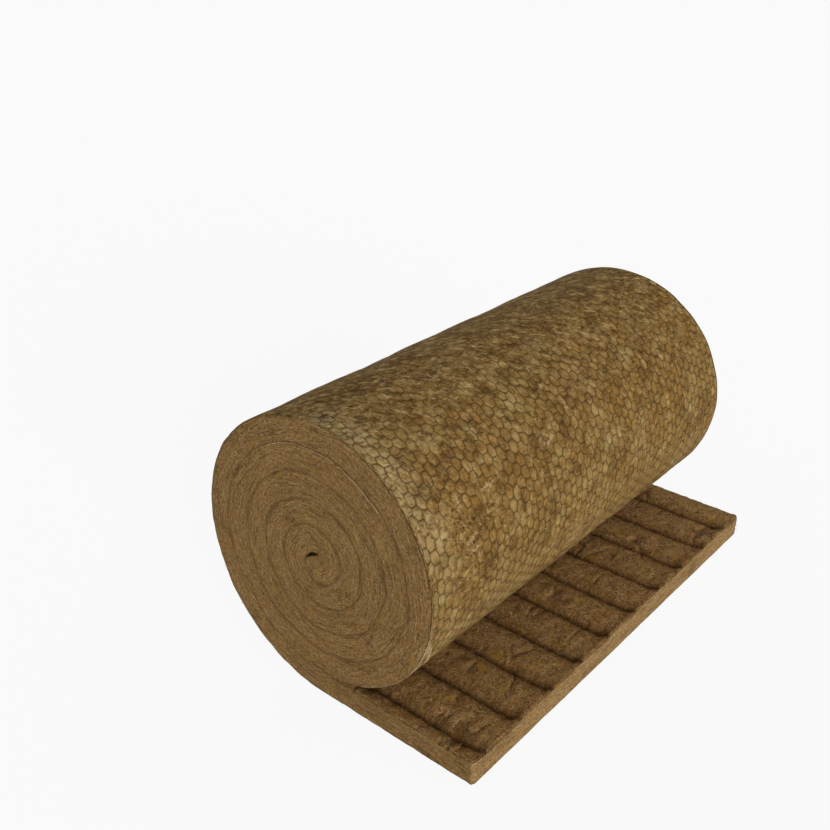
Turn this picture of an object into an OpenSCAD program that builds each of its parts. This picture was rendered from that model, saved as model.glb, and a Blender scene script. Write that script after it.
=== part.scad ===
// Roll of wired stone wool mat, lying on its side with the last stretch of mat unrolled on the floor.
// The mat is one strip of wool. Its outer face carries wire netting, sewn on in rows across the width.
// X runs out along the unrolled tail, Y along the roll and Z up. The origin is under the middle of the whole.

/* [Mat] */
// Width of the mat, which is the length of the roll
mat_width = 1000; // [500:10:1200]
// Thickness of the wool
mat_thickness = 50; // [30:1:80]

/* [Roll] */
// Full turns that are wound in the roll
turns = 5; // [3:1:7]
// Radius of the hollow that the first half turn is bent round
core_radius = 30; // [24:1:45]
// Length of mat that lies unrolled, from under the roll's axis to the free end
tail_length = 348; // [300:1:800]
// How far the wool gives where the roll's weight presses it on the floor
press = 1; // [0.5:0.1:3]

/* [Turns at the ends] */
// Width of the crease between two turns
crease_width = 8; // [3:0.5:14]
// Depth of the crease between two turns
crease_depth = 6; // [2:0.5:14]
// Length of the slit that stays open at the core
slit_length = 32; // [16:1:36]
// Height of the slit at its middle
slit_height = 9; // [4:0.5:12]
// Slope of the slit
slit_slope = 30; // [0:1:60]

/* [Stitching] */
// Distance from the front edge of the mat to the first row of stitches
first_row = 36; // [15:1:80]
// Distance from one row of stitches to the next
row_pitch = 98.5; // [85:0.5:160]
// Drop of the wool's face from the middle of a band to its row of stitches
band_crown = 5; // [2:0.5:10]
// Width of the furrow that the wire pulls into the wool
furrow_width = 8; // [3:0.5:14]
// Depth of that furrow below the edge of the band
furrow_depth = 5; // [2:0.5:10]

/* [Hidden] */
$fn = 180;

// The roll is a spiral of half circles. Their centres take turns, the lower one for the half on the left.
// Each half is half a thickness tighter than the last, so two halves on, the faces of the mat touch.
half_turns = 2 * turns;
outer_radius = core_radius + turns * mat_thickness;
function half_radius(k) = outer_radius - k * mat_thickness / 2;
function half_centre(k) = outer_radius - press + (k % 2) * mat_thickness / 2;
function half_start(k) = k % 2 == 0 ? 90 : -90;

// The second half turn comes down on the tail and stays pressed on it as far as this angle
landing_angle = acos((half_centre(1) - mat_thickness) / half_radius(1));

// Rows of stitches, counted from the front edge of the mat
last_row = floor((mat_width - first_row) / row_pitch);
function row_place(i) = first_row + i * row_pitch;
crown_radius = (pow(row_pitch / 2, 2) + pow(band_crown, 2)) / (2 * band_crown);

// Both long sides of the slit are arcs of this radius
slit_radius = (pow(slit_length / 2, 2) + pow(slit_height / 2, 2)) / slit_height;

// The origin is under the middle of the box round the roll and its tail
reach = max(tail_length, half_radius(1));
middle_x = (reach - outer_radius) / 2;

// Cuts start this far outside the face that they enter
overrun = 1;
wool_colour = [0.50, 0.40, 0.25];

// Turns a section drawn in X and Z, and pulled out along its own axis, so that it lies along the roll
module along_roll() {
    rotate([90, 0, 0]) children();
}

// Half of the roll's outline
module half_disc(k) {
    radius = half_radius(k);
    intersection() {
        translate([0, half_centre(k)]) circle(radius);
        translate([k % 2 == 0 ? -2 * radius : 0, 0]) square([2 * radius, 4 * radius]);
    }
}

// Slit at the core, where the start of the mat doesn't fill the first half turn
module slit() {
    translate([0, half_centre(0)])
        rotate(slit_slope)
            translate([0, core_radius])
                intersection() {
                    translate([0, slit_radius - slit_height / 2]) circle(slit_radius);
                    translate([0, slit_height / 2 - slit_radius]) circle(slit_radius);
                }
}

module roll() {
    along_roll()
        linear_extrude(mat_width, center = true)
            difference() {
                union() {
                    half_disc(0);
                    half_disc(1);
                }
                slit();
            }
}

// Wool between two rows of stitches, pulled down to the row on each side
module band(i) {
    intersection() {
        translate([row_place(i) - row_pitch / 2, mat_thickness - crown_radius]) circle(crown_radius);
        translate([row_place(i) - row_pitch, 0]) square([row_pitch, mat_thickness]);
    }
}

module furrow(i) {
    bottom = mat_thickness - band_crown - furrow_depth;
    translate([row_place(i), bottom])
        polygon([
            [0, 0],
            [furrow_width / 2, furrow_depth + band_crown],
            [-furrow_width / 2, furrow_depth + band_crown]
        ]);
}

// Section of the unrolled mat, from the front edge to the back one
module tail_section() {
    difference() {
        intersection() {
            square([mat_width, mat_thickness]);
            union() for (i = [0 : last_row + 1]) band(i);
        }
        for (i = [0 : last_row]) furrow(i);
    }
}

module tail() {
    translate([0, -mat_width / 2, 0])
        rotate([90, 0, 90])
            linear_extrude(tail_length) tail_section();
}

// Crease along one half turn, in the end at the top of the section
module half_crease(k) {
    sweep = k == 1 ? landing_angle : 180;
    translate([0, half_centre(k), mat_width / 2])
        rotate(half_start(k))
            rotate_extrude(angle = sweep)
                translate([half_radius(k), 0])
                    polygon([
                        [0, -crease_depth],
                        [crease_width / 2, 0],
                        [crease_width / 2, overrun],
                        [-crease_width / 2, overrun],
                        [-crease_width / 2, 0]
                    ]);
}

module creases() {
    along_roll()
        for (side = [0, 1]) mirror([0, 0, side])
            for (k = [1 : half_turns - 1]) half_crease(k);
}

module wool_mat() {
    color(wool_colour)
        translate([-middle_x, 0, 0])
            difference() {
                union() {
                    roll();
                    tail();
                }
                creases();
            }
}

wool_mat();
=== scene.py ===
import math

import bmesh
import bpy
from mathutils import Matrix, Vector


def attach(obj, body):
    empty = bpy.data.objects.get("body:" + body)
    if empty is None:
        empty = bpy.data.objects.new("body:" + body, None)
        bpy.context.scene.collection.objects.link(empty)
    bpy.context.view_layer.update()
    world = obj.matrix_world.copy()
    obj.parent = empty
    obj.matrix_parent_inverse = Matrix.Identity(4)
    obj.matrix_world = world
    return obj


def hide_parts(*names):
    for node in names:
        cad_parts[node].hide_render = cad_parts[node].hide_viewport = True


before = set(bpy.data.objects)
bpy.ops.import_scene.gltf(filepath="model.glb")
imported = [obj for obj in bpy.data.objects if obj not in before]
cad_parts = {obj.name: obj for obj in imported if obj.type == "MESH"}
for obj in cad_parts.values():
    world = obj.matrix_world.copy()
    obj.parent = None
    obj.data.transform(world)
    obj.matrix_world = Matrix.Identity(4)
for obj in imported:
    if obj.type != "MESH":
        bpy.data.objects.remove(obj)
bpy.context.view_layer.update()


# Wool mat
# One strip of bonded stone wool, a metre wide and 50 mm thick, wound on itself like a carpet with
# its last stretch left flat on the floor. The turns only press on each other, and the rows of
# stitches that hold the netting pull furrows into the face that shows on the flat stretch.

mat_sizes = {
    "Mat width": 1.0,
    "Thickness": 0.05,
    "Roll radius": 0.28,
    "Tail length": 0.348,
    "Press": 0.001,
    "Middle": 0.034,
    "First row": 0.036,
    "Row pitch": 0.0985,
    "Crown": 0.005,
    "Furrow depth": 0.006,
    "Edge rounding": 0.0028,
    "Seam depth": 0.0008,
    "Slit": 0.0044,
}
lines_per_half_turn = 100
lines_on_tail = 100
lines_across = 150
lines_in_thickness = 11
half_turns = 11


class Flow:
    """One output of a node. Sums that are written on it add Math nodes to its tree."""

    def __init__(self, tree, socket):
        self.tree = tree
        self.socket = socket

    @staticmethod
    def node(tree, kind, settings, values):
        """Adds a node, sets it up, fills or links its sockets, and gives its outputs by name."""
        made = tree.nodes.new(kind)
        for name, value in settings.items():
            setattr(made, name, value)
        for name, value in values.items():
            if isinstance(name, int):
                slot = made.inputs[name]
            else:
                slot = next(s for s in made.inputs if s.name == name and s.enabled)
            if isinstance(value, Flow):
                tree.links.new(value.socket, slot)
            else:
                slot.default_value = value
        return {s.name: Flow(tree, s) for s in reversed(made.outputs) if s.enabled}

    def math(self, operation, *values):
        made = self.tree.nodes.new("ShaderNodeMath")
        made.operation = operation
        for slot, value in zip(made.inputs, values):
            if isinstance(value, Flow):
                self.tree.links.new(value.socket, slot)
            else:
                slot.default_value = value
        return Flow(self.tree, made.outputs[0])

    def __add__(self, other):
        return self.math("ADD", self, other)

    def __radd__(self, other):
        return self.math("ADD", other, self)

    def __sub__(self, other):
        return self.math("SUBTRACT", self, other)

    def __rsub__(self, other):
        return self.math("SUBTRACT", other, self)

    def __mul__(self, other):
        return self.math("MULTIPLY", self, other)

    def __rmul__(self, other):
        return self.math("MULTIPLY", other, self)

    def __truediv__(self, other):
        return self.math("DIVIDE", self, other)

    def __rtruediv__(self, other):
        return self.math("DIVIDE", other, self)

    def __pow__(self, other):
        return self.math("POWER", self, other)

    def __mod__(self, other):
        return self.math("FLOORED_MODULO", self, other)

    def __neg__(self):
        return self.math("MULTIPLY", self, -1.0)

    def __abs__(self):
        return self.math("ABSOLUTE", self)

    def __lt__(self, other):
        return self.math("LESS_THAN", self, other)

    def __gt__(self, other):
        return self.math("GREATER_THAN", self, other)

    def floor(self):
        return self.math("FLOOR", self)

    def rounded(self):
        return self.math("ROUND", self)

    def sin(self):
        return self.math("SINE", self)

    def cos(self):
        return self.math("COSINE", self)

    def root(self):
        return self.math("SQRT", self)

    def at_least(self, other):
        return self.math("MAXIMUM", self, other)

    def at_most(self, other):
        return self.math("MINIMUM", self, other)

    def rise(self, start, end):
        """Climbs smoothly from 0 at start to 1 at end."""
        return Flow.node(
            self.tree,
            "ShaderNodeMapRange",
            {"interpolation_type": "SMOOTHSTEP"},
            {"Value": self, "From Min": start, "From Max": end},
        )["Result"]

    def between(self, low, high):
        """Goes from low to high as this value goes from 0 to 1."""
        return low + self * (high - low)


def vector(x, y, z):
    tree = next(v.tree for v in (x, y, z) if isinstance(v, Flow))
    return Flow.node(tree, "ShaderNodeCombineXYZ", {}, {"X": x, "Y": y, "Z": z})["Vector"]


def parts_of(place):
    apart = Flow.node(place.tree, "ShaderNodeSeparateXYZ", {}, {"Vector": place})
    return apart["X"], apart["Y"], apart["Z"]


def noise(place, scale, detail=2.0, roughness=0.5):
    return Flow.node(
        place.tree,
        "ShaderNodeTexNoise",
        {"noise_dimensions": "3D"},
        {"Vector": place, "Scale": scale, "Detail": detail, "Roughness": roughness},
    )["Fac"]


def noise_shift(place, scale, detail=2.0, roughness=0.5):
    """Three noises at once, each from -0.5 to 0.5, to push a place about."""
    shift = Flow.node(
        place.tree,
        "ShaderNodeTexNoise",
        {"noise_dimensions": "3D"},
        {"Vector": place, "Scale": scale, "Detail": detail, "Roughness": roughness},
    )["Color"]
    return [part - 0.5 for part in parts_of(shift)]


def start_tree(name, sizes):
    """A new tree with one named input for each size, and the flows of those inputs."""
    tree = bpy.data.node_groups.new(name, "GeometryNodeTree")
    tree.interface.new_socket("Geometry", in_out="INPUT", socket_type="NodeSocketGeometry")
    tree.interface.new_socket("Geometry", in_out="OUTPUT", socket_type="NodeSocketGeometry")
    for size in sizes:
        tree.interface.new_socket(size, in_out="INPUT", socket_type="NodeSocketFloat")
    entry = tree.nodes.new("NodeGroupInput")
    return tree, {s.name: Flow(tree, s) for s in entry.outputs if s.name}


def end_tree(tree, geometry, material):
    """Ends a tree in Realize Instances and Set Material."""
    real = Flow.node(tree, "GeometryNodeRealizeInstances", {}, {"Geometry": geometry})["Geometry"]
    done = Flow.node(
        tree, "GeometryNodeSetMaterial", {}, {"Geometry": real, "Material": material}
    )["Geometry"]
    way_out = tree.nodes.new("NodeGroupOutput")
    tree.links.new(done.socket, way_out.inputs[0])


def run_tree(name, tree, sizes, mesh):
    """Runs a tree on a mesh and returns a new object that holds the result as a plain mesh."""
    piece = bpy.data.objects.new(name, mesh)
    bpy.context.scene.collection.objects.link(piece)
    modifier = piece.modifiers.new("Shape", "NODES")
    modifier.node_group = tree
    for item in tree.interface.items_tree:
        if item.in_out == "INPUT" and item.name in sizes:
            modifier[item.identifier] = sizes[item.name]
    shown = piece.evaluated_get(bpy.context.evaluated_depsgraph_get())
    plain = bpy.data.meshes.new_from_object(shown, depsgraph=bpy.context.evaluated_depsgraph_get())
    piece.modifiers.clear()
    piece.data = plain
    plain.name = name
    return piece


def here(tree):
    return Flow.node(tree, "GeometryNodeInputPosition", {}, {})["Position"]


def join(tree, parts):
    joined = tree.nodes.new("GeometryNodeJoinGeometry")
    for part in reversed(parts):
        tree.links.new(part.socket, joined.inputs[0])
    return Flow(tree, joined.outputs[0])


def place_points(geometry, place):
    return Flow.node(
        geometry.tree, "GeometryNodeSetPosition", {}, {"Geometry": geometry, "Position": place}
    )["Geometry"]


def keep_place(geometry, s, y, n):
    """Keeps each point's length along the mat, place across it and depth in it."""
    return Flow.node(
        geometry.tree,
        "GeometryNodeStoreNamedAttribute",
        {"data_type": "FLOAT_VECTOR", "domain": "POINT"},
        {"Geometry": geometry, "Name": "mat_place", "Value": vector(s, y, n)},
    )["Geometry"]


def row_sway(x, y):
    """How far the rows of stitches stray from straight lines."""
    return (noise(vector(x, y, 0.0), 14.0) - 0.5) * 0.007


def from_row(size, x, y):
    """Distance across the mat to the nearest row of stitches."""
    row = (y + row_sway(x, y) - size["First row"]) / size["Row pitch"]
    return abs(row - row.rounded()) * size["Row pitch"]


def folds(x, y):
    """1 along the short folds that cross the bands of the flat stretch, and 0 away from them."""
    level = noise(vector(x * 11.0, y * 4.5, 4.0), 1.0, 2.0, 0.55)
    in_places = noise(vector(x * 9.0, y * 11.0, 9.0), 1.0).rise(0.48, 0.58)
    return (1.0 - abs(level - 0.5).rise(0.0, 0.04)) * in_places


def furrow_relief(size, x, y):
    """How far the flat stretch's top lies below its full thickness."""
    spot = vector(x, y, 0.0)
    near = from_row(size, x, y)
    crown = size["Crown"] * (1.0 - near / (size["Row pitch"] * 0.5)) ** 2
    strength = noise(spot, 23.0).rise(0.25, 0.7).between(0.6, 1.2)
    furrow = size["Furrow depth"] * strength * (1.0 - near.rise(0.0, 0.013))
    clumps = (noise(spot, 36.0, 3.0, 0.6) - 0.5) * 0.005 + (noise(spot, 90.0) - 0.5) * 0.0025
    to_end = size["Tail length"] - x
    fade = x.rise(0.015, 0.06)
    at_end = (to_end + (noise(spot, 30.0) - 0.5) * 0.012).rise(0.004, 0.022)
    return (crown + furrow + folds(x, y) * 0.003) * fade * at_end.between(0.06, 1.0) + clumps * fade


def wind(size, a, y, n):
    """Where a point of the mat lies once it is wound, and its length s from the free end.

    a runs from -1 at the free end to 0 under the axis, and then counts half turns. y runs from the
    front edge, and n from the outer face down into the wool."""
    thick, roll, tail = size["Thickness"], size["Roll radius"], size["Tail length"]
    turned = a.at_least(0.0)
    half = turned.floor()
    angle = turned * math.pi
    radius = roll - half * (thick * 0.5)
    low_centre = roll - size["Press"]
    centre = low_centre + (half % 2.0) * (thick * 0.5)
    start = tail + math.pi * (half * roll - thick * 0.25 * half * (half - 1.0))
    s_roll = start + (angle - half * math.pi) * radius

    # The face of the roll swells and dips a little between the turns of netting
    swell_spot = vector(s_roll, y, 0.0)
    swell = (noise(swell_spot, 9.0, 4.0) - 0.5) * 0.008 * (turned < 2.0)
    swell = swell * turned.rise(0.02, 0.15) * (1.0 - turned.rise(1.85, 1.96))
    depth = n - swell * (1.0 - n / thick)
    outward = radius - depth
    x_roll = -outward * angle.sin()
    z_roll = (centre - outward * angle.cos()).at_least(0.0)

    # In the core the strip's start is pressed to a wedge, and leaves a slit beside it
    slit_from, slit_run, wedge = 10.55, 0.45, 0.005
    arch = ((turned - slit_from) * (math.pi / slit_run)).sin().at_least(0.0)
    loose = turned.rise(slit_from, 11.0) * wedge + size["Slit"] * arch * (turned > slit_from)
    rim = radius - loose
    inward = (n / thick) * turned.rise(9.0, 9.3).between(50.0 / 55.0, 1.0)
    pole_z = low_centre + thick * 0.5
    x_core = -rim * angle.sin() * (1.0 - inward)
    z_core = (centre - rim * angle.cos()) * (1.0 - inward) + pole_z * inward
    core = turned > 8.9999
    x_roll = x_roll + (x_core - x_roll) * core
    z_roll = z_roll + (z_core - z_roll) * core

    # The flat stretch, with the roll pressed on it beside the axis
    x_tail = -a * tail
    under = roll - thick * 0.5
    pressed = pole_z - (under * under - (x_tail * x_tail).at_most(under * under)).root()
    top = pressed.at_most(thick) - furrow_relief(size, x_tail, y)
    z_tail = n * (top / thick)
    on_tail = a < 0.0
    x = x_roll + (x_tail - x_roll) * on_tail
    z = z_roll + (z_tail - z_roll) * on_tail
    s = s_roll + (tail * (1.0 + a) - s_roll) * on_tail
    return x, y, z, s


def round_edges(size, a, n, s, x, y, z):
    """Rounds the mat's cut edges, so that a crease shows between two turns, which lie unevenly."""
    thick, width = size["Thickness"], size["Mat width"]
    spot = vector(x, z, y * 0.3)
    shift_x, shift_z, _ = noise_shift(spot, 16.0, 1.0)
    inner = (n.rise(0.004, 0.03) + (a > 1.9999)).at_most(1.0) * (a > 0.0) * z.rise(0.055, 0.1)
    x, z = x + shift_x * inner * 0.011, z + shift_z * inner * 0.011
    rough = noise(spot, 26.0, 3.0).rise(0.42, 0.68)
    cracks = noise(spot, 41.0, 3.0).rise(0.54, 0.68) * 0.0028
    to_face = n.at_most(thick - n + (a > 9.05) * thick)
    outside = (n < thick * 0.5) * (a < 2.0)
    outside = outside.at_least(a < 0.0)
    edge = (1.0 - to_face.rise(-0.001, 0.006)) * size["Edge rounding"] * outside
    seam = (1.0 - to_face.rise(-0.0004, 0.0034)) * (size["Seam depth"] + cracks)
    curve = edge * rough.between(0.7, 1.1) + seam * (1.0 - outside) * rough.between(0.1, 1.5)
    middle = (n * (math.pi / thick)).sin()
    slide = (noise(vector(s, y, n * 6.0), 11.0, 3.0) - 0.5) * 0.007 * middle
    side = y.at_most(width - y)
    on_side = 1.0 - side.rise(0.0, 0.014)
    inset = (curve + slide + 0.0012) * on_side
    y_new = y + inset * (1.0 - 2.0 * (y > width * 0.5))
    lump = (noise(vector(y, n, 3.0), 35.0, 4.0) - 0.5) * 0.004 * middle
    corner = 1.0 - side.rise(0.0, 0.01)
    on_end = 1.0 - s.rise(0.0, 0.014)
    x_new = x - (curve + lump + corner * 0.004) * on_end
    return x_new, y_new, z


def lines_near_rows(q):
    """Lines across the mat that stand closer together beside a row of stitches."""
    pitch, first, gather = mat_sizes["Row pitch"], mat_sizes["First row"], 0.6

    def place(u):
        return first + pitch * (u - gather * math.sin(2 * math.pi * u) / (2 * math.pi))

    ends = []
    for edge in (0.0, mat_sizes["Mat width"]):
        low, high = -1.0, 12.0
        for _ in range(60):
            middle = (low + high) / 2
            low, high = (middle, high) if place(middle) < edge else (low, middle)
        ends.append(low)
    u = q.between(*ends)
    y = first + pitch * (u - (u * (2 * math.pi)).sin() * (gather / (2 * math.pi)))
    return y.at_least(0.0).at_most(mat_sizes["Mat width"])


def lines_near_faces(q):
    """Lines through the thickness that stand closer together beside both faces."""
    n = q - (q * (2 * math.pi)).sin() * (0.75 / (2 * math.pi))
    return n.at_least(0.0).at_most(1.0) * mat_sizes["Thickness"]


def shape_mat(material):
    tree, size = start_tree("Wound mat", mat_sizes)

    def skin(p_lines, q_lines, lay):
        """One face of the strip, laid out flat with a, y and n as its place."""
        grid = Flow.node(
            tree,
            "GeometryNodeMeshGrid",
            {},
            {"Size X": 1.0, "Size Y": 1.0, "Vertices X": p_lines + 1, "Vertices Y": q_lines + 1},
        )["Mesh"]
        p, q, _ = parts_of(here(tree))
        return place_points(grid, vector(*lay(p + 0.5, q + 0.5)))

    thick, width = size["Thickness"], size["Mat width"]
    on_roll = lines_per_half_turn * 2
    on_ends = lines_per_half_turn * half_turns
    across, deep = lines_across, lines_in_thickness
    skins = [
        skin(lines_on_tail, across, lambda p, q: (p - 1.0, lines_near_rows(q), 0.0)),
        skin(on_roll, across, lambda p, q: (p * 2.0, lines_near_rows(q), 0.0)),
        skin(lines_on_tail, across, lambda p, q: (p - 1.0, lines_near_rows(q), thick)),
        skin(across, deep, lambda p, q: (-1.0, lines_near_rows(p), lines_near_faces(q))),
    ]
    for edge in (0.0, width):
        skins.append(skin(lines_on_tail, deep, lambda p, q: (p - 1.0, edge, lines_near_faces(q))))
        skins.append(
            skin(on_ends, deep, lambda p, q: (p * float(half_turns), edge, lines_near_faces(q)))
        )
    laid = join(tree, skins)
    a, y, n = parts_of(here(tree))
    a = (a * float(lines_per_half_turn * lines_on_tail)).rounded()
    a = a / float(lines_per_half_turn * lines_on_tail)
    x, y_wound, z, s = wind(size, a, y, n)
    x, y_wound, z = round_edges(size, a, n, s, x, y_wound, z)
    kept = keep_place(laid, s, y, n)
    wound = place_points(kept, vector(x - size["Middle"], y_wound - width * 0.5, z))
    smooth = Flow.node(tree, "GeometryNodeSetShadeSmooth", {}, {"Geometry": wound})["Geometry"]
    end_tree(tree, smooth, material)
    return run_tree("wool_mat_wound", tree, mat_sizes, bpy.data.meshes.new("wool_mat_start"))


def close_mat(mat):
    """Joins the faces of the strip at their edges, and gives the slit in the core its walls."""
    work = bmesh.new()
    work.from_mesh(mat.data)
    bmesh.ops.remove_doubles(work, verts=work.verts, dist=4e-6)
    flat = [f for f in work.faces if f.calc_area() < 1e-12]
    bmesh.ops.dissolve_degenerate(work, edges=[e for f in flat for e in f.edges], dist=1e-7)
    rim = [e for e in work.edges if e.is_boundary]
    place = work.verts.layers.float_vector["mat_place"]
    slit_floor = 0.88
    deep = {}
    for corner in [v for e in rim for v in e.verts]:
        if corner not in deep:
            x, y, z = corner.co
            deep[corner] = work.verts.new((x, y * slit_floor, z))
            deep[corner][place] = corner[place]
    for edge in rim:
        one, two = edge.verts
        wall = work.faces.new((one, two, deep[two], deep[one]), edge.link_faces[0])
        wall.smooth = True
    bmesh.ops.holes_fill(work, edges=[e for e in work.edges if e.is_boundary], sides=0)
    bmesh.ops.recalc_face_normals(work, faces=work.faces)
    work.to_mesh(mat.data)
    work.free()


def shader_start(name):
    material = bpy.data.materials.new(name)
    material.use_nodes = True
    tree = material.node_tree
    tree.nodes.clear()
    return material, tree


def shader_end(tree, finish, colour, roughness, normal):
    """Ends a material in one Principled shader; finish holds what is the same all over."""
    values = {"Base Color": colour, "Roughness": roughness, "Normal": normal, **finish}
    shader = Flow.node(tree, "ShaderNodeBsdfPrincipled", {}, values)["BSDF"]
    Flow.node(tree, "ShaderNodeOutputMaterial", {}, {"Surface": shader})


def blend(low, high, factor):
    """Mixes two colours, each a flow or the three numbers of a linear colour."""
    pair = [c if isinstance(c, Flow) else (*c, 1.0) for c in (low, high)]
    return Flow.node(
        factor.tree,
        "ShaderNodeMix",
        {"data_type": "RGBA", "clamp_factor": True},
        {"Factor": factor, "A": pair[0], "B": pair[1]},
    )["Result"]


def coats(colour, *layers):
    """Lays colours over a first one, each with its own share."""
    for over, share in layers:
        colour = blend(colour, over, share)
    return colour


def mat_place(tree):
    place = Flow.node(tree, "ShaderNodeAttribute", {"attribute_name": "mat_place"}, {})["Vector"]
    return place, *parts_of(place)


# Netting cells: spacing of the columns across the mat, pitch along it, and the twisted sides
column_step = 0.0175
mesh_pitch = 0.025
twist_length = 0.013
slant_run = column_step - twist_length
first_column = 0.01


def net_drift(s, y):
    """How far the netting's wires are pushed along and across the mat by handling."""
    along, across, _ = noise_shift(vector(s, y, 0.0), 20.0, 3.0, 0.7)
    at_edge = y.at_most(1.0 - y).rise(0.004, 0.03)
    return along * 0.026, across * 0.018 * at_edge


def netting_cell(s, y):
    """0 at the middle of a netting cell and 1 at its wires, with three numbers of its own."""
    drift_s, drift_y = net_drift(s, y)
    drift_s, drift_y = net_drift(s - drift_s, y - drift_y)
    s, y = s - drift_s, y - drift_y
    nearest = None
    for shift_y, shift_s in ((0.0, 0.0), (column_step, mesh_pitch / 2)):
        column = (y - first_column - shift_y + column_step) / (2 * column_step)
        row = (s - shift_s + mesh_pitch / 2) / mesh_pitch
        dy = abs(column - column.floor() - 0.5) * (2 * column_step)
        ds = abs(row - row.floor() - 0.5) * 2.0
        edge = ds.at_least((dy + ds * slant_run) / (twist_length / 2 + slant_run))
        own = column.floor() + row.floor() * 37.0 + shift_y * 1000.0
        if nearest is None:
            nearest = (edge, own)
        else:
            closer = edge < nearest[0]
            own = nearest[1] + (own - nearest[1]) * closer
            nearest = (edge.at_most(nearest[0]), own)
    chance = Flow.node(
        s.tree, "ShaderNodeTexWhiteNoise", {"noise_dimensions": "1D"}, {"W": nearest[1]}
    )["Color"]
    return nearest[0], parts_of(chance)


def wool_cover(s, y):
    """1 where the wool has come through the netting and hides it, 0 where the wires lie bare."""
    spot = vector(s, y, 2.0)
    wide = noise(spot, 5.0, 3.0).rise(0.55, 0.67)
    small = noise(spot, 22.0, 2.0).rise(0.58, 0.68)
    on_top = s.rise(0.98, 1.08) * (1.0 - (s + small * 0.05).rise(1.22, 1.40))
    return wide.at_least(small).at_least(on_top * noise(spot, 16.0).rise(0.42, 0.58))


def wool_material():
    material, tree = shader_start("stone wool")
    place, s, y, n = mat_place(tree)
    thick, width, tail = (mat_sizes[k] for k in ("Thickness", "Mat width", "Tail length"))
    past_outer_turn = 2.06
    outer = (1.0 - n.rise(0.0004, 0.0022)) * (s < past_outer_turn)
    top = n.rise(thick - 0.0022, thick - 0.0004) * (s < tail)

    # Fibres lie in thin sheets in the mat, bent this way and that
    curl_s, curl_y, curl_n = noise_shift(place, 60.0, 1.0)
    wave = noise(vector(s * 22.0, y * 22.0, n * 45.0), 1.0) - 0.5
    s_bent, y_bent, n_bent = s + curl_s * 0.014, y + curl_y * 0.014, n + curl_n * 0.003

    def strands(turn, along, across, seed):
        u = s_bent * math.cos(turn) + y_bent * math.sin(turn)
        v = y_bent * math.cos(turn) - s_bent * math.sin(turn)
        return noise(vector(u * along, v * across, n_bent * across + seed), 1.0, 1.0)

    lying = strands(0.1, 55.0, 400.0, 0.0)
    for turn, seed in ((0.8, 11.0), (-0.75, 23.0), (1.55, 37.0)):
        lying = lying.at_least(strands(turn, 55.0, 400.0, seed))
    gaps = strands(0.0, 70.0, 330.0, 51.0).at_least(strands(1.2, 70.0, 330.0, 67.0))
    pale_strands, dark_gaps = lying.rise(0.60, 0.74), gaps.rise(0.58, 0.70)
    tangle = noise(vector(s * 160.0, y * 160.0, n * 240.0), 1.0, 3.0, 0.65)
    spots = noise(vector(s * 26.0, y * 26.0, n * 60.0), 1.0, 2.0, 0.6).rise(0.60, 0.69)

    # A cut through the sheets shows streaks, most of them long and soft, and a few splits
    depth = n_bent + wave * 0.009
    layers = noise(vector(s_bent * 15.0, y_bent * 15.0, depth * 290.0), 1.0, 3.0, 0.55)
    hairs = noise(vector(s_bent * 50.0, y_bent * 50.0, depth * 640.0), 1.0, 2.0)
    tone = noise(vector(s * 7.0, y * 7.0, n * 45.0), 1.0, 3.0, 0.6)
    split = noise(vector(s_bent * 9.0, y_bent * 9.0, depth * 80.0), 1.0, 2.0)
    splits = (1.0 - abs(split - 0.5).rise(0.0, 0.022)) * noise(
        vector(s * 15.0, y * 15.0, n * 32.0), 1.0
    ).rise(0.50, 0.60)
    free_end = 1.0 - s.rise(0.003, 0.008)
    to_face = n.at_most(thick - n) + (tone - 0.5) * 0.01
    cut = blend((0.258, 0.143, 0.047), (0.322, 0.197, 0.078), free_end)
    cut = coats(
        cut,
        ((0.175, 0.092, 0.028), tone.rise(0.5, 0.34) * 0.6),
        ((0.342, 0.200, 0.065), tone.rise(0.54, 0.70) * 0.5),
        ((0.110, 0.057, 0.017), layers.rise(0.49, 0.32) * 0.6),
        ((0.42, 0.278, 0.123), layers.rise(0.52, 0.70) * 0.5),
        ((0.085, 0.044, 0.013), hairs.rise(0.47, 0.30) * 0.55),
        ((0.49, 0.335, 0.162), hairs.rise(0.55, 0.72) * 0.45),
        ((0.090, 0.047, 0.014), tangle.rise(0.53, 0.36) * 0.55),
        ((0.46, 0.315, 0.148), tangle.rise(0.54, 0.70) * 0.35),
        ((0.05, 0.025, 0.008), dark_gaps * 0.4),
        ((0.52, 0.37, 0.19), pale_strands * 0.35),
        ((0.33, 0.170, 0.028), spots * 0.5),
        ((0.070, 0.036, 0.011), splits * 0.5),
    )
    # Painted shade where the turns meet on the ends, coming and going along them
    seam_shade = (1.0 - to_face.rise(-0.001, 0.007)) * noise(place, 16.0).rise(0.36, 0.62)
    cut = blend(cut, (0.080, 0.041, 0.013), seam_shade * 0.65)

    # The bare face of the flat stretch is combed and clumped, with painted shade in its furrows and
    # in the short folds across its bands
    x = tail - s
    near = from_row(mat_sizes, x, y) + (tangle - 0.5) * 0.006
    fold_shade = folds(x, y)
    clumps = noise(vector(x, y, 0.0), 36.0, 3.0, 0.6)
    bare = blend((0.325, 0.176, 0.058), (0.42, 0.255, 0.103), clumps.rise(0.47, 0.30) * 0.5)
    bare = coats(
        bare,
        ((0.195, 0.100, 0.031), clumps.rise(0.53, 0.70) * 0.4),
        ((0.135, 0.068, 0.020), tangle.rise(0.54, 0.36) * 0.5),
        ((0.055, 0.027, 0.008), dark_gaps * 0.55),
        ((0.62, 0.43, 0.22), pale_strands * 0.6),
        ((0.44, 0.245, 0.030), spots * 0.5),
        # Painted shade in the short folds, and then in the furrows beside the rows of stitches
        ((0.060, 0.028, 0.008), fold_shade.rise(0.45, 1.0) * 0.5),
        ((0.108, 0.047, 0.012), (1.0 - near.rise(0.0, 0.032)) * 0.5),
        ((0.060, 0.024, 0.005), (1.0 - near.rise(0.0, 0.009)) * 0.7),
    )
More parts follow.
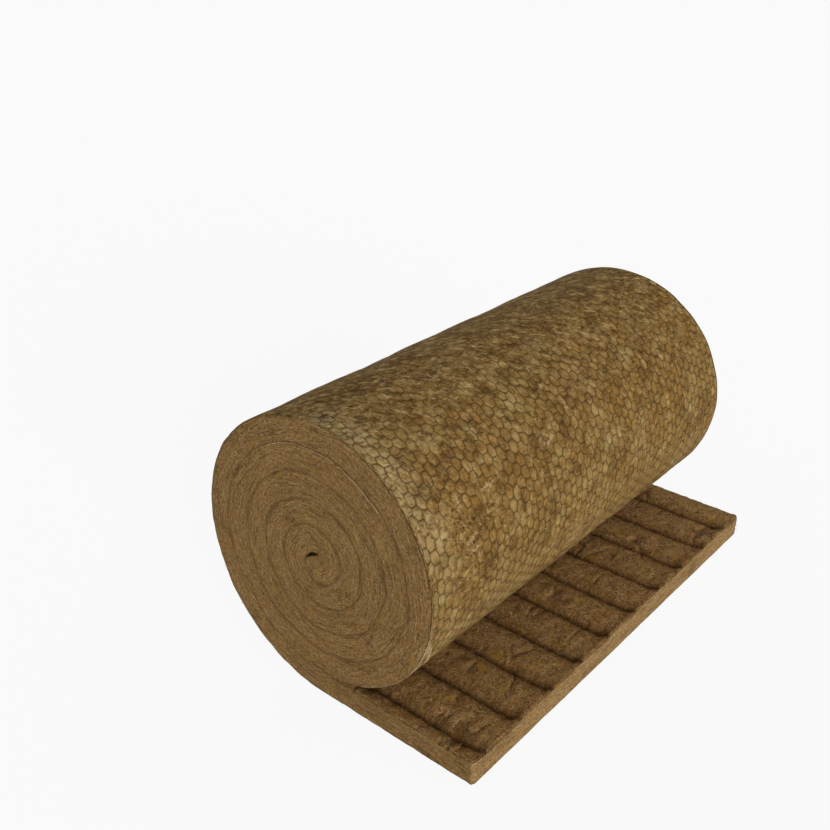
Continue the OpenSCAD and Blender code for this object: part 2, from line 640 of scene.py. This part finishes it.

    # Under the netting the wool is blotched and swells through the cells, and painted shade with
    # some dirt darkens it beside the wires
    cell, (tint, tint_two, _) = netting_cell(s, y)
    cover = wool_cover(s, y)
    shown = 1.0 - cover
    blotch = noise(vector(s * 30.0, y * 24.0, 3.0), 1.0, 4.0, 0.65)
    flecks = noise(vector(s_bent * 95.0, y_bent * 80.0, 1.0), 1.0, 3.0, 0.7)
    hue = noise(vector(s * 7.0 + y * 3.0, y * 7.0, 6.0), 1.0, 3.0, 0.6)
    wrinkles = noise(vector(s_bent * 50.0 + y * 12.0, y * 12.0, 8.0), 1.0, 2.0).at_least(
        noise(vector(s_bent * 14.0 - y * 10.0, y_bent * 50.0, 12.0), 1.0, 2.0)
    )
    patches = noise(vector(s * 14.0 + y * 5.0, y * 10.0, 15.0), 1.0, 3.0, 0.55)
    smears = noise(vector((s + y) * 19.0, (y_bent - s_bent) * 42.0, 20.0), 1.0, 4.0, 0.7)
    high_up = s.rise(0.95, 1.05) * (1.0 - s.rise(1.25, 1.5))
    near_edge = (1.0 - y.rise(0.015, 0.09)) * s.rise(1.16, 1.24) * (1.0 - s.rise(1.45, 1.62))
    valley = cell + (tangle - 0.5) * 0.22
    netted = blend(
        (0.218, 0.111, 0.025), (0.275, 0.174, 0.054), hue.rise(0.42, 0.64) * 0.5 + tint * 0.5
    )
    netted = coats(
        netted,
        ((0.300, 0.150, 0.032), tint_two.rise(0.6, 1.0) * hue.rise(0.6, 0.4) * 0.5),
        ((0.105, 0.051, 0.012), patches.rise(0.50, 0.32) * 0.6),
        ((0.410, 0.298, 0.125), patches.rise(0.52, 0.68) * (0.25 + tint * 0.3)),
        ((0.185, 0.090, 0.020), cover * 0.45),
        ((0.082, 0.039, 0.009), blotch.rise(0.52, 0.34) * 0.65),
        ((0.420, 0.295, 0.115), blotch.rise(0.54, 0.69) * 0.65),
        ((0.050, 0.024, 0.005), flecks.rise(0.49, 0.33) * cover.between(0.45, 1.0)),
        ((0.440, 0.308, 0.123), flecks.rise(0.54, 0.68) * cover.between(0.4, 0.9)),
        ((0.045, 0.022, 0.005), dark_gaps * cover.between(0.25, 0.8)),
        ((0.520, 0.370, 0.165), pale_strands * cover.between(0.25, 0.45)),
        ((0.500, 0.365, 0.175), wrinkles.rise(0.62, 0.80) * 0.6),
        ((0.070, 0.034, 0.008), smears.rise(0.49, 0.35) * high_up * 0.75),
        ((0.520, 0.370, 0.153), smears.rise(0.53, 0.67) * high_up * 0.8),
        ((0.450, 0.345, 0.175), near_edge * flecks.rise(0.38, 0.58) * 0.5),
        # Painted light on the low part of the outer face, which lies in shade between the roll and
        # the flat stretch
        ((0.420, 0.301, 0.122), s.rise(1.58, 1.74) * 0.15),
        # Painted shade with some dirt in the valleys along the wires, darkest right at the wires
        ((0.075, 0.037, 0.009), valley.rise(0.66, 1.0) * shown.between(0.1, 0.45)),
        ((0.022, 0.011, 0.003), valley.rise(0.90, 1.02) * shown.between(0.1, 0.5)),
    )

    # Low on the front the edge has frayed into a pale loop, and a pale rim along the edge is a
    # painted highlight where it catches the light
    rim = (1.0 - y.rise(0.002, 0.012)) * s.rise(1.60, 1.74)
    loop = (((s - 1.79) / 0.085) ** 2.0 + (y / 0.034) ** 2.0).root() + (tangle - 0.5) * 0.35
    frayed_loop_and_rim_highlight = rim.at_least(1.0 - abs(loop - 1.0).rise(0.04, 0.17))
    netted = blend(netted, (0.60, 0.46, 0.26), frayed_loop_and_rim_highlight * tangle.rise(0.34, 0.56) * 0.75)

    body = blend(blend(cut, bare, top), netted, outer)
    pillow = (1.0 - valley.at_least(0.0) ** 3.0) * 1.9 * shown + (blotch + wrinkles + flecks) * 2.0
    felt = layers * 1.8 + hairs * 0.9 - splits * 1.0 + tangle * 1.8 - dark_gaps * 0.4
    combed = pale_strands * 0.8 - dark_gaps * 0.9 + tangle * 2.4 - clumps * 4.0
    relief = felt + (combed - felt) * top
    pillow = pillow + flecks * cover * 2.5 + tangle * 1.6 + pale_strands * 0.4
    relief = relief + (pillow - relief) * outer
    bump = Flow.node(
        tree, "ShaderNodeBump", {}, {"Strength": 1.0, "Distance": 0.001, "Height": relief}
    )["Normal"]
    shader_end(tree, {"Specular IOR Level": 0.05}, body, tangle.between(0.86, 0.98), bump)
    return material


stone_wool = wool_material()
wool_mat = shape_mat(stone_wool)
close_mat(wool_mat)
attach(wool_mat, "root")
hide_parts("wool_mat")


# Wire netting
# Hexagonal netting of thin zinc-coated wire, woven by twisting neighbouring wires together in
# pairs, with one straight wire along each edge. It lies on the outer face of the mat, where the
# stitches pull it into the wool.

netting_sizes = {
    **mat_sizes,
    "Wire radius": 0.0004,
    "Column step": column_step,
    "Mesh pitch": mesh_pitch,
    "Twist length": twist_length,
    "First column": first_column,
    "Sink": 0.0001,
    "Cover": 0.0012,
}
netting_columns = 57
netting_rows = 81
inner_wire = (2.640, 2.915)
edge_margin = first_column - twist_length / 2


def half_turn_starts():
    """Length of mat from the free end to the start of each of the first half turns."""
    starts = [mat_sizes["Tail length"]]
    for k in range(5):
        radius = mat_sizes["Roll radius"] - k * mat_sizes["Thickness"] / 2
        starts.append(starts[-1] + math.pi * radius)
    return starts


def turns_at(s):
    """Half turns that lie behind a length s of mat, and -1 to 0 along the tail."""
    starts = half_turn_starts()
    a = (s / starts[0]).at_most(1.0) - 1.0
    for first, last in zip(starts, starts[1:]):
        a = a + ((s - first) / (last - first)).at_least(0.0).at_most(1.0)
    return a


def line(tree, start, end):
    return Flow.node(
        tree, "GeometryNodeCurvePrimitiveLine", {"mode": "POINTS"}, {"Start": start, "End": end}
    )["Curve"]


def resample(curve, count):
    return Flow.node(
        curve.tree, "GeometryNodeResampleCurve", {"mode": "COUNT"}, {"Curve": curve, "Count": count}
    )["Curve"]


def thicker(curve, factor):
    return Flow.node(
        curve.tree, "GeometryNodeSetCurveRadius", {}, {"Curve": curve, "Radius": factor}
    )["Curve"]


def tube(curve, radius, sides):
    """A thin wire or fibre along a curve, with its ends closed."""
    ring = Flow.node(
        curve.tree, "GeometryNodeCurvePrimitiveCircle", {}, {"Resolution": sides, "Radius": radius}
    )["Curve"]
    return Flow.node(
        curve.tree,
        "GeometryNodeCurveToMesh",
        {},
        {"Curve": curve, "Profile Curve": ring, "Fill Caps": True},
    )["Mesh"]


def shape_netting(material):
    tree, size = start_tree("Netting", netting_sizes)
    step, pitch, twist = size["Column step"], size["Mesh pitch"], size["Twist length"]

    def cells(columns):
        """One point for each cell, with a length along the mat and a place across it."""
        grid = Flow.node(
            tree,
            "GeometryNodeMeshGrid",
            {},
            {
                "Size X": netting_rows - 1.0,
                "Size Y": columns - 1.0,
                "Vertices X": netting_rows,
                "Vertices Y": columns,
            },
        )["Mesh"]
        j, i, _ = parts_of(here(tree))
        row = (j + (netting_rows - 1) / 2).rounded()
        column = (i + (columns - 1) / 2).rounded()
        s = (row + 0.5 + 0.5 * (column % 2.0)) * pitch
        return place_points(grid, vector(s, size["First column"] + column * step, 0.0))

    def on_cells(columns, wires):
        return Flow.node(
            tree,
            "GeometryNodeInstanceOnPoints",
            {},
            {"Points": cells(columns), "Instance": wires},
        )["Instances"]

    left, right = twist * -0.5, twist * 0.5
    far = step - right
    twisted = thicker(line(tree, vector(0.0, left, 0.0), vector(0.0, right, 0.0)), 1.45)
    slants = [
        line(tree, vector(0.0, right, 0.0), vector(pitch * way, far, 0.0)) for way in (0.5, -0.5)
    ]
    net = [
        on_cells(netting_columns, twisted),
        on_cells(netting_columns - 1, join(tree, slants)),
    ]
    length = netting_rows * mesh_pitch
    for edge in (edge_margin, mat_sizes["Mat width"] - edge_margin):
        net.append(resample(line(tree, (0.0, edge, 0.0), (length, edge, 0.0)), 300))
    # The edge wire of the next turn in shows in the front end, where that turn stands out a little
    showing = resample(line(tree, (inner_wire[0], 0.0, 0.0), (inner_wire[1], 0.0, 0.0)), 60)
    net.append(thicker(showing, 1.8))
    wires = Flow.node(
        tree, "GeometryNodeRealizeInstances", {}, {"Geometry": join(tree, net)}
    )["Geometry"]

    s, y, _ = parts_of(here(tree))
    drift_s, drift_y = net_drift(s, y)
    inner = s > inner_wire[0] - 0.01
    s, y = (s + drift_s).at_least(0.002), y + drift_y
    wires = keep_place(wires, s, y, 0.0)
    sunk = size["Sink"] + wool_cover(s, y) * size["Cover"] * (1.0 - inner)
    a = turns_at(s)
    x, y, z, _ = wind(size, a, y, sunk)
    x, y, z = round_edges(size, a, sunk, s, x, y, z)
    stand_out = 0.0026
    y = y - inner * stand_out
    wires = place_points(
        wires, vector(x - size["Middle"], y - size["Mat width"] * 0.5, z.at_least(0.0005))
    )
    end_tree(tree, tube(wires, size["Wire radius"], 4), material)
    return run_tree("wire_netting", tree, netting_sizes, bpy.data.meshes.new("netting_start"))


def wire_material():
    material, tree = shader_start("zinc wire painted with shade")
    place, s, _, _ = mat_place(tree)
    worn = noise(place, 70.0, 3.0)
    # The wire is painted dark brown, which stands in part for the shade of the grooves where it
    # lies in the wool; worn places are lighter, and the edge wire of the inner turn is pale
    colour = blend((0.036, 0.021, 0.007), (0.11, 0.074, 0.032), worn.rise(0.45, 0.8))
    colour = blend(colour, (0.62, 0.47, 0.27), s.rise(2.2, 2.3) * worn.rise(0.34, 0.48))
    grain = Flow.node(
        tree, "ShaderNodeBump", {}, {"Strength": 0.3, "Distance": 0.0002, "Height": worn}
    )["Normal"]
    finish = {"Metallic": 0.2, "Specular IOR Level": 0.2}
    shader_end(tree, finish, colour, worn.between(0.55, 0.8), grain)
    return material


zinc_wire = wire_material()
netting = shape_netting(zinc_wire)
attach(netting, "root")


# Stitching wire
# Thin wire that sews the netting to the wool, in ten rows a hand's width apart. It runs through the
# mat and lies at the bottom of the furrows that it pulls into the face of the flat stretch.

stitch_sizes = {**mat_sizes, "Wire radius": 0.0005}
stitch_rows = 10


def shape_stitches(material):
    tree, size = start_tree("Stitches", stitch_sizes)
    runs = []
    for i in range(stitch_rows):
        y = mat_sizes["First row"] + i * mat_sizes["Row pitch"]
        runs.append(resample(line(tree, (-0.96, y, 0.0), (-0.07, y, 0.0)), 130))
    wires = join(tree, runs)
    a, y, _ = parts_of(here(tree))
    x = a * (-1.0 * size["Tail length"])
    y = y - row_sway(x, y)
    dip = ((x * (2 * math.pi / 0.03)).sin() - 0.55) * 0.0016
    wires = keep_place(wires, size["Tail length"] - x, y, size["Thickness"])
    x, y, z, _ = wind(size, a, y, size["Thickness"] + dip)
    wires = place_points(wires, vector(x - size["Middle"], y - size["Mat width"] * 0.5, z))
    end_tree(tree, tube(wires, size["Wire radius"], 4), material)
    return run_tree("stitching_wire", tree, stitch_sizes, bpy.data.meshes.new("stitch_start"))


stitching = shape_stitches(zinc_wire)
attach(stitching, "root")


# Loose fibres
# Single fibres of stone wool that stand out of the mat's face and cut edges, each thinner than a
# hair and curled. They hang on by the same binder as the rest of the wool.

fibre_sizes = {**mat_sizes, "Fibre length": 0.018, "Fibre radius": 0.0002, "Lift": 0.0003}


def shape_fibres(material):
    tree, size = start_tree("Fibres", fibre_sizes)
    place = Flow.node(
        tree,
        "GeometryNodeInputNamedAttribute",
        {"data_type": "FLOAT_VECTOR"},
        {"Name": "mat_place"},
    )["Attribute"]
    s, y, n = parts_of(place)
    top = n > size["Thickness"] - 0.0003
    bare = n > 0.003
    density = top * 7000.0 + bare * (1.0 - top) * 1800.0
    spread = Flow.node(
        tree,
        "GeometryNodeDistributePointsOnFaces",
        {"distribute_method": "RANDOM"},
        {"Mesh": size["Geometry"], "Density": density, "Seed": 7},
    )
    x, _, z = parts_of(here(tree))
    on_flat = s < size["Tail length"] * 1.05
    about_x = (z - size["Roll radius"] * 1.03) * -1.0
    lie = vector(
        about_x + (1.0 - about_x) * on_flat, 0.0, (x + size["Middle"]) * (1.0 - on_flat)
    )
    turned = Flow.node(
        tree,
        "FunctionNodeAxesToRotation",
        {"primary_axis": "Z", "secondary_axis": "X"},
        {"Primary Axis": spread["Normal"], "Secondary Axis": lie},
    )["Rotation"]
    chance = Flow.node(
        tree,
        "FunctionNodeRandomValue",
        {"data_type": "FLOAT_VECTOR"},
        {"Min": (-0.3, -0.25, -1.0), "Max": (0.3, 0.05, 1.0), "Seed": 3},
    )["Value"]
    tilt_x, tilt_y, spin = parts_of(chance)
    spin = spin * (top.between(0.35, 3.14))
    swing = Flow.node(
        tree, "FunctionNodeEulerToRotation", {}, {"Euler": vector(tilt_x, tilt_y, spin)}
    )["Rotation"]
    turned = Flow.node(
        tree,
        "FunctionNodeRotateRotation",
        {"rotation_space": "LOCAL"},
        {"Rotation": turned, "Rotate By": swing},
    )["Rotation"]
    long = Flow.node(
        tree,
        "FunctionNodeRandomValue",
        {"data_type": "FLOAT"},
        {"Min": 0.0, "Max": 1.0, "Seed": 5},
    )["Value"]
    long = (long**6.0).between(0.55, 2.0)
    half = size["Fibre length"] * 0.5
    fibre = resample(
        line(tree, vector(half * -1.0, 0.0, size["Lift"]), vector(half, 0.0, size["Lift"])), 6
    )
    sown = Flow.node(
        tree,
        "GeometryNodeInstanceOnPoints",
        {},
        {
            "Points": spread["Points"],
            "Instance": fibre,
            "Rotation": turned,
            "Scale": vector(long, long, long),
        },
    )["Instances"]
    strands = Flow.node(tree, "GeometryNodeRealizeInstances", {}, {"Geometry": sown})["Geometry"]
    x, y, z = parts_of(here(tree))
    curl_x, curl_y, curl_z = noise_shift(here(tree), 130.0, 1.0)
    z = (z + curl_z * 0.006).at_least(size["Fibre radius"] * 2.0)
    strands = place_points(strands, vector(x + curl_x * 0.009, y + curl_y * 0.009, z))
    end_tree(tree, tube(strands, size["Fibre radius"], 3), material)
    return run_tree("loose_fibres", tree, fibre_sizes, wool_mat.data.copy())


def fibre_material():
    material, tree = shader_start("loose wool fibre")
    place = Flow.node(tree, "ShaderNodeTexCoord", {}, {})["Object"]
    mixed = noise(place, 210.0, 2.0)
    colour = blend((0.17, 0.100, 0.038), (0.46, 0.315, 0.16), mixed.rise(0.4, 0.65))
    grain = Flow.node(
        tree, "ShaderNodeBump", {}, {"Strength": 0.2, "Distance": 0.0001, "Height": mixed}
    )["Normal"]
    shader_end(tree, {"Specular IOR Level": 0.15}, colour, mixed.between(0.7, 0.9), grain)
    return material


fibres = shape_fibres(fibre_material())
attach(fibres, "root")


# Studio
# A plain pale floor under plain soft light, with a broad lamp low on the side of the free end and
# a weak one behind the roll.

floor_mesh = bpy.data.meshes.new("floor")
floor_mesh.from_pydata(
    [(-30, -30, 0), (30, -30, 0), (30, 30, 0), (-30, 30, 0)], [], [(0, 1, 2, 3)]
)
floor = bpy.data.objects.new("floor", floor_mesh)
bpy.context.scene.collection.objects.link(floor)
pale_floor, floor_tree = shader_start("pale floor")
matte = Flow.node(
    floor_tree, "ShaderNodeBsdfDiffuse", {}, {"Color": (0.86, 0.86, 0.86, 1.0)}
)["BSDF"]
white = Flow.node(
    floor_tree, "ShaderNodeEmission", {}, {"Color": (1, 1, 1, 1), "Strength": 1.0}
)["Emission"]
ray = Flow.node(floor_tree, "ShaderNodeLightPath", {}, {})
seen = ray["Is Camera Ray"].at_least(ray["Is Glossy Ray"]).at_least(ray["Is Transmission Ray"])
floor_look = Flow.node(
    floor_tree, "ShaderNodeMixShader", {}, {0: seen * 0.9, 1: matte, 2: white}
)["Shader"]
Flow.node(floor_tree, "ShaderNodeOutputMaterial", {}, {"Surface": floor_look})
floor_mesh.materials.append(pale_floor)

world = bpy.data.worlds.new("studio")
bpy.context.scene.world = world
world.use_nodes = True
world_tree = world.node_tree
world_tree.nodes.clear()
ray = Flow.node(world_tree, "ShaderNodeLightPath", {}, {})
seen = ray["Is Camera Ray"].at_least(ray["Is Glossy Ray"]).at_least(ray["Is Transmission Ray"])
sky = Flow.node(
    world_tree,
    "ShaderNodeBackground",
    {},
    {"Color": (1, 1, 1, 1), "Strength": seen.between(0.445, 0.96)},
)["Background"]
Flow.node(world_tree, "ShaderNodeOutputWorld", {}, {"Surface": sky})


def soft_lamp(name, place, strength, spread):
    """A broad lamp that shines from place, so far off that it lights the floor evenly."""
    lamp = bpy.data.lights.new(name, "SUN")
    lamp.energy, lamp.angle = strength, math.radians(spread)
    stand = bpy.data.objects.new(name, lamp)
    bpy.context.scene.collection.objects.link(stand)
    stand.location = place
    stand.rotation_euler = Vector(place).to_track_quat("Z", "Y").to_euler()


soft_lamp("side lamp", (3.05, -1.35, 0.58), 2.8, 34.0)
soft_lamp("back lamp", (-4.5, 4.0, 1.5), 0.5, 34.0)

eye = bpy.data.cameras.new("camera")
eye.sensor_width = 36.0
eye.lens = 36.0 * 1028.7 / 830.0
eye.clip_end = 200.0
camera = bpy.data.objects.new("camera", eye)
bpy.context.scene.collection.objects.link(camera)
azimuth, elevation, roll_angle = (math.radians(d) for d in (40.109, 26.817, 0.4))
back = Vector(
    (
        math.sin(azimuth) * math.cos(elevation),
        -math.cos(azimuth) * math.cos(elevation),
        math.sin(elevation),
    )
)
right = Vector((math.cos(azimuth), math.sin(azimuth), 0.0))
up = back.cross(right)
right_turned = math.cos(roll_angle) * right + math.sin(roll_angle) * up
up_turned = -math.sin(roll_angle) * right + math.cos(roll_angle) * up
stand = Matrix((right_turned, up_turned, back)).transposed().to_4x4()
stand.translation = (1.0342, -1.5084, 1.3119)
camera.matrix_world = stand
bpy.context.scene.camera = camera
bpy.context.scene.view_settings.view_transform = "Standard"
